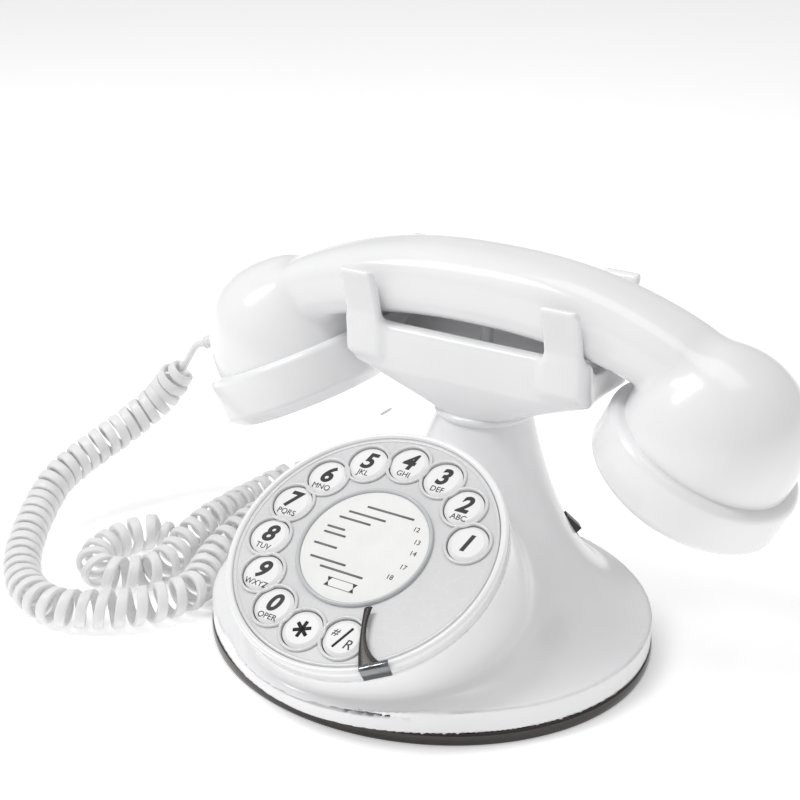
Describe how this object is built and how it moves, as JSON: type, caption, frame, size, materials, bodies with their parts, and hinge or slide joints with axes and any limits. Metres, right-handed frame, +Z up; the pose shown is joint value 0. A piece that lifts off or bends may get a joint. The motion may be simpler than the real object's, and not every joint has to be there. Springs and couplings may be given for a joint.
{
  "type": "desk telephone",
  "caption": "Desk telephone with an oval base, round push-button dial, pedestal cradle and a handset on a curly cord",
  "frame": {"origin": "middle of the oval base's underside, on the table", "axes": "+X along the handset to the right seen from the dial, +Y to the rear, +Z up; the dial faces -Y"},
  "size_m": [0.27, 0.1526, 0.122],
  "materials": {
    "base_ring": "moulded dark brown, polished",
    "foot_rubber": "moulded",
    "screw_steel": "zinc plated",
    "ballast_iron": "raw",
    "ivory_shell": "moulded gloss white",
    "dial_white": "moulded satin white",
    "clear_wheel": "clear moulded plastic",
    "clear_ring": "clear moulded plastic",
    "chrome_stop": "polished",
    "card_paper": "coated card",
    "membrane_rubber": "silicone",
    "board_green": "circuit board laminate",
    "plunger_white": "moulded",
    "spring_steel": "drawn wire",
    "dark_plastic": "moulded",
    "bracket_steel": "pressed sheet",
    "gong_brass": "spun",
    "coil_copper": "enamelled copper wire",
    "grey_knob": "moulded",
    "ivory_handset": "moulded gloss white",
    "capsule_metal": "pressed",
    "cord_white": "extruded satin white",
    "clear_plug": "clear moulded plastic",
    "key_white": "moulded satin white"
  },
  "bodies": {
    "base": {"base_plate": "base_ring", "foot_pads": "foot_rubber", "base_screws": "screw_steel", "ballast_weight": "ballast_iron", "base_shell": "ivory_shell", "neck_bead": "ivory_shell", "cradle": "ivory_shell", "cradle_nut": "screw_steel", "dial_bezel": "ivory_shell", "dial_plate": "dial_white", "finger_wheel": "clear_wheel", "finger_stop": "chrome_stop", "label_card": "card_paper", "label_ring": "clear_ring", "keypad_membrane": "membrane_rubber", "keypad_board": "board_green", "main_board": "board_green", "hook_spring": "spring_steel", "hook_switch": "dark_plastic", "ringer_bracket": "bracket_steel", "bell_gongs": "gong_brass", "ringer_coil": "coil_copper", "line_jack": "dark_plastic", "handset_jack": "dark_plastic", "volume_housing": "dark_plastic", "cord_lead": "cord_white", "cord_coil": "cord_white", "cord_tail": "cord_white", "cord_plug": "clear_plug"},
    "handset": {"handset_body": "ivory_handset", "ear_cap": "ivory_handset", "mouth_cap": "ivory_handset", "receiver_capsule": "capsule_metal", "microphone": "dark_plastic", "handset_weight": "ballast_iron", "strain_relief": "cord_white"},
    "hook": {"hook_plunger": "plunger_white"},
    "clapper_arm": {"clapper": "bracket_steel"},
    "volume": {"volume_switch": "grey_knob"},
    "key_1_body": {"key_1": "key_white"},
    "key_2_body": {"key_2": "key_white"},
    "key_3_body": {"key_3": "key_white"},
    "key_4_body": {"key_4": "key_white"},
    "key_5_body": {"key_5": "key_white"},
    "key_6_body": {"key_6": "key_white"},
    "key_7_body": {"key_7": "key_white"},
    "key_8_body": {"key_8": "key_white"},
    "key_9_body": {"key_9": "key_white"},
    "key_0_body": {"key_0": "key_white"},
    "key_star_body": {"key_star": "key_white"},
    "key_hash_body": {"key_hash": "key_white"}
  },
  "joints": [
    {"name": "handset_lift", "type": "slide", "parent": "base", "child": "handset", "axis": [0, 0, 1], "range_m": [0, 0.07]},
    {"name": "hook_rise", "type": "slide", "parent": "base", "child": "hook", "axis": [0, 0, 1], "range_m": [0, 0.004], "deforming": ["hook_spring"]},
    {"name": "clapper_swing", "type": "hinge", "parent": "base", "child": "clapper_arm", "pos_m": [0, 0.023, 0.012], "axis": [0, 0, 1], "range_deg": [-2, 2], "stiffness_Nm_per_rad": 0.002},
    {"name": "press_1", "type": "slide", "parent": "base", "child": "key_1_body", "axis": [0, 0.4909, -0.8712], "range_m": [0, 0.0014], "stiffness_N_per_m": 300, "springref_m": -0.0005},
    {"name": "press_2", "type": "slide", "parent": "base", "child": "key_2_body", "axis": [0, 0.4909, -0.8712], "range_m": [0, 0.0014], "stiffness_N_per_m": 300, "springref_m": -0.0005},
    {"name": "press_3", "type": "slide", "parent": "base", "child": "key_3_body", "axis": [0, 0.4909, -0.8712], "range_m": [0, 0.0014], "stiffness_N_per_m": 300, "springref_m": -0.0005},
    {"name": "press_4", "type": "slide", "parent": "base", "child": "key_4_body", "axis": [0, 0.4909, -0.8712], "range_m": [0, 0.0014], "stiffness_N_per_m": 300, "springref_m": -0.0005},
    {"name": "press_5", "type": "slide", "parent": "base", "child": "key_5_body", "axis": [0, 0.4909, -0.8712], "range_m": [0, 0.0014], "stiffness_N_per_m": 300, "springref_m": -0.0005},
    {"name": "press_6", "type": "slide", "parent": "base", "child": "key_6_body", "axis": [0, 0.4909, -0.8712], "range_m": [0, 0.0014], "stiffness_N_per_m": 300, "springref_m": -0.0005},
    {"name": "press_7", "type": "slide", "parent": "base", "child": "key_7_body", "axis": [0, 0.4909, -0.8712], "range_m": [0, 0.0014], "stiffness_N_per_m": 300, "springref_m": -0.0005},
    {"name": "press_8", "type": "slide", "parent": "base", "child": "key_8_body", "axis": [0, 0.4909, -0.8712], "range_m": [0, 0.0014], "stiffness_N_per_m": 300, "springref_m": -0.0005},
    {"name": "press_9", "type": "slide", "parent": "base", "child": "key_9_body", "axis": [0, 0.4909, -0.8712], "range_m": [0, 0.0014], "stiffness_N_per_m": 300, "springref_m": -0.0005},
    {"name": "press_0", "type": "slide", "parent": "base", "child": "key_0_body", "axis": [0, 0.4909, -0.8712], "range_m": [0, 0.0014], "stiffness_N_per_m": 300, "springref_m": -0.0005},
    {"name": "press_star", "type": "slide", "parent": "base", "child": "key_star_body", "axis": [0, 0.4909, -0.8712], "range_m": [0, 0.0014], "stiffness_N_per_m": 300, "springref_m": -0.0005},
    {"name": "press_hash", "type": "slide", "parent": "base", "child": "key_hash_body", "axis": [0, 0.4909, -0.8712], "range_m": [0, 0.0014], "stiffness_N_per_m": 300, "springref_m": -0.0005},
    {"name": "volume_slide", "type": "slide", "parent": "base", "child": "volume", "axis": [0.5368, 0.4504, -0.7134], "range_m": [-0.002, 0.002]}
  ],
  "couplings": [
    {"joint": "hook_rise", "follows": "handset_lift", "ratio": 0.057143}
  ]
}
